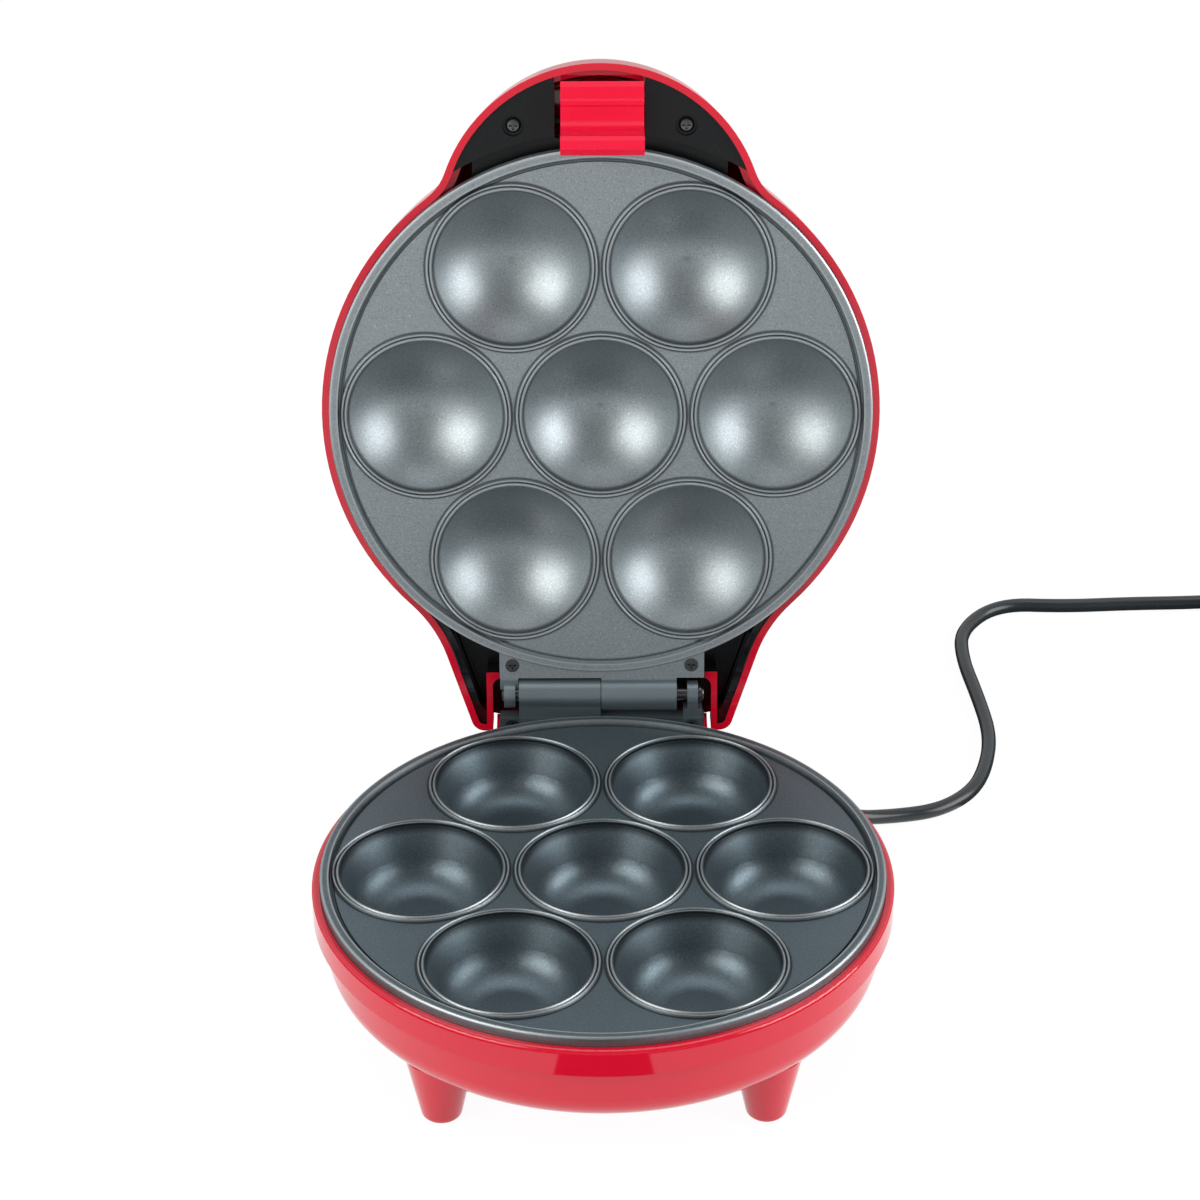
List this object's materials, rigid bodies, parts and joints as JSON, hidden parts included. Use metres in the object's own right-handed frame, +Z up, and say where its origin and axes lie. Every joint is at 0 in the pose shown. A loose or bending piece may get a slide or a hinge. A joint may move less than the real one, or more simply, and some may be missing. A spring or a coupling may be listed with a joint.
{
  "type": "cupcake maker",
  "caption": "Round electric cupcake maker with a glossy red hinged lid, coated cup plates, a latched handle and a lead with a coil and plug, open on its hinge.",
  "frame": {"origin": "middle of the footprint of the appliance, without its lead, on the surface it stands on", "axes": "+Z up, +X to the viewer's right along the hinge pin, -Y towards the front, where the handle closes"},
  "size_m": [0.4546, 0.3866, 0.2999],
  "materials": {
    "red_gloss": "glossy",
    "latch_red": "satin",
    "coated_cast": "non-stick coating, satin",
    "black_satin": "satin",
    "dark_screw": "dark",
    "plain_steel": "satin",
    "sheet": "mill",
    "pad_rubber": "matt",
    "cord_black": "glossy",
    "ceramic_block": "matt",
    "clear_lens": "clear tinted",
    "green_lens": "clear tinted",
    "neon_glass": "clear",
    "pin_brass": "bright"
  },
  "bodies": {
    "base": {"base_shell": "red_gloss", "foot_pads": "pad_rubber", "base_plate": "coated_cast", "base_plate_screws": "dark_screw", "base_element": "plain_steel", "base_element_clamps": "plain_steel", "base_clamp_screws": "plain_steel", "base_heat_shield": "sheet", "base_shield_screws": "plain_steel", "thermostat": "ceramic_block", "thermal_fuse": "plain_steel", "terminal_block": "ceramic_block", "inner_lead": "cord_black", "cord_clamp": "black_satin", "cord_bush": "pad_rubber", "hinge_pin": "dark_screw", "pin_clip": "dark_screw", "power_cord": "cord_black", "cord_coil": "cord_black", "cord_tie": "black_satin", "plug_body": "cord_black", "plug_pins": "pin_brass"},
    "lid": {"lid_shell": "red_gloss", "lid_plate": "coated_cast", "lid_plate_screws": "dark_screw", "hinge_liner": "black_satin", "handle_insert": "black_satin", "handle_screws": "dark_screw", "latch_pin": "plain_steel", "latch_spring": "plain_steel", "lid_element": "plain_steel", "lid_element_clamps": "plain_steel", "lid_clamp_screws": "plain_steel", "lid_heat_shield": "sheet", "lid_shield_screws": "plain_steel", "power_lens": "clear_lens", "ready_lens": "green_lens", "neon_lamps": "neon_glass", "lamp_holder": "black_satin"},
    "latch": {"latch": "latch_red"}
  },
  "joints": [
    {"name": "lid_hinge", "type": "hinge", "parent": "base", "child": "lid", "pos_m": [0, 0.06919, 0.06575], "axis": [1, 0, 0], "range_deg": [0, 101.42]},
    {"name": "latch_pivot", "type": "hinge", "parent": "lid", "child": "latch", "pos_m": [0, 0.11648, 0.27789], "axis": [-1, 0, 0], "range_deg": [0, 12], "stiffness_Nm_per_rad": 0.3, "springref_deg": -5.73}
  ]
}
